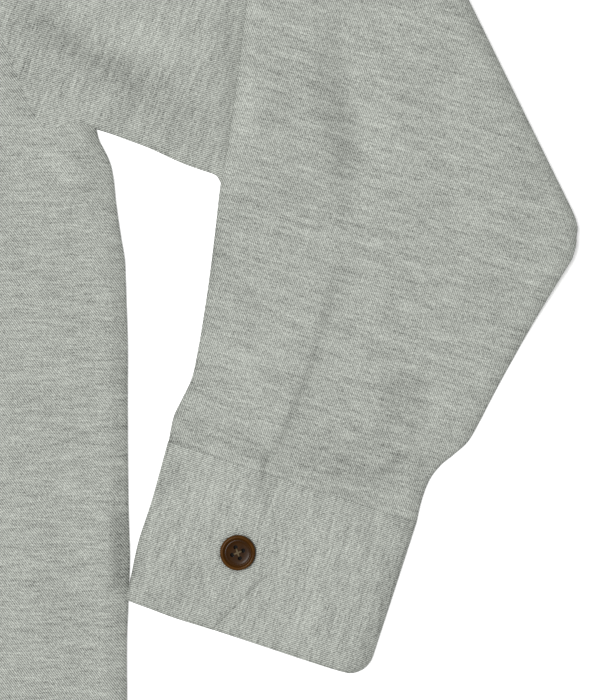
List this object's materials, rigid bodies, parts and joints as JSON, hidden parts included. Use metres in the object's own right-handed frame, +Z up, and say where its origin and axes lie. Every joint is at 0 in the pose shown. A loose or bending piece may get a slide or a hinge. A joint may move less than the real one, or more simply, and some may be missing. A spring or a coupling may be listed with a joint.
{
  "type": "shirt jacket",
  "caption": "Light grey twill shirt jacket laid flat, front up and buttoned, with both sleeves folded forward at the elbow and pointed button cuffs.",
  "frame": {"origin": "middle of the garment's box in plan, on the surface it lies on", "axes": "+X to the wearer's left, +Y from hem to collar, +Z up from the surface"},
  "size_m": [0.9882, 0.7558, 0.0108],
  "materials": {
    "cloth": "matte fine twill with slubs, light grey melange",
    "button": "dark brown horn-like resin with amber tones, polished"
  },
  "bodies": {
    "root": {"back_panel": "cloth", "front_left": "cloth", "front_right": "cloth", "collar_stand": "cloth", "collar_fall": "cloth", "sleeve_left": "cloth", "sleeve_right": "cloth", "cuff_left": "cloth", "cuff_right": "cloth", "button_front_1": "button", "button_front_2": "button", "button_front_3": "button", "button_front_4": "button", "button_front_5": "button", "button_front_6": "button", "button_front_7": "button", "button_cuff_left": "button", "button_cuff_right": "button"}
  },
  "joints": []
}
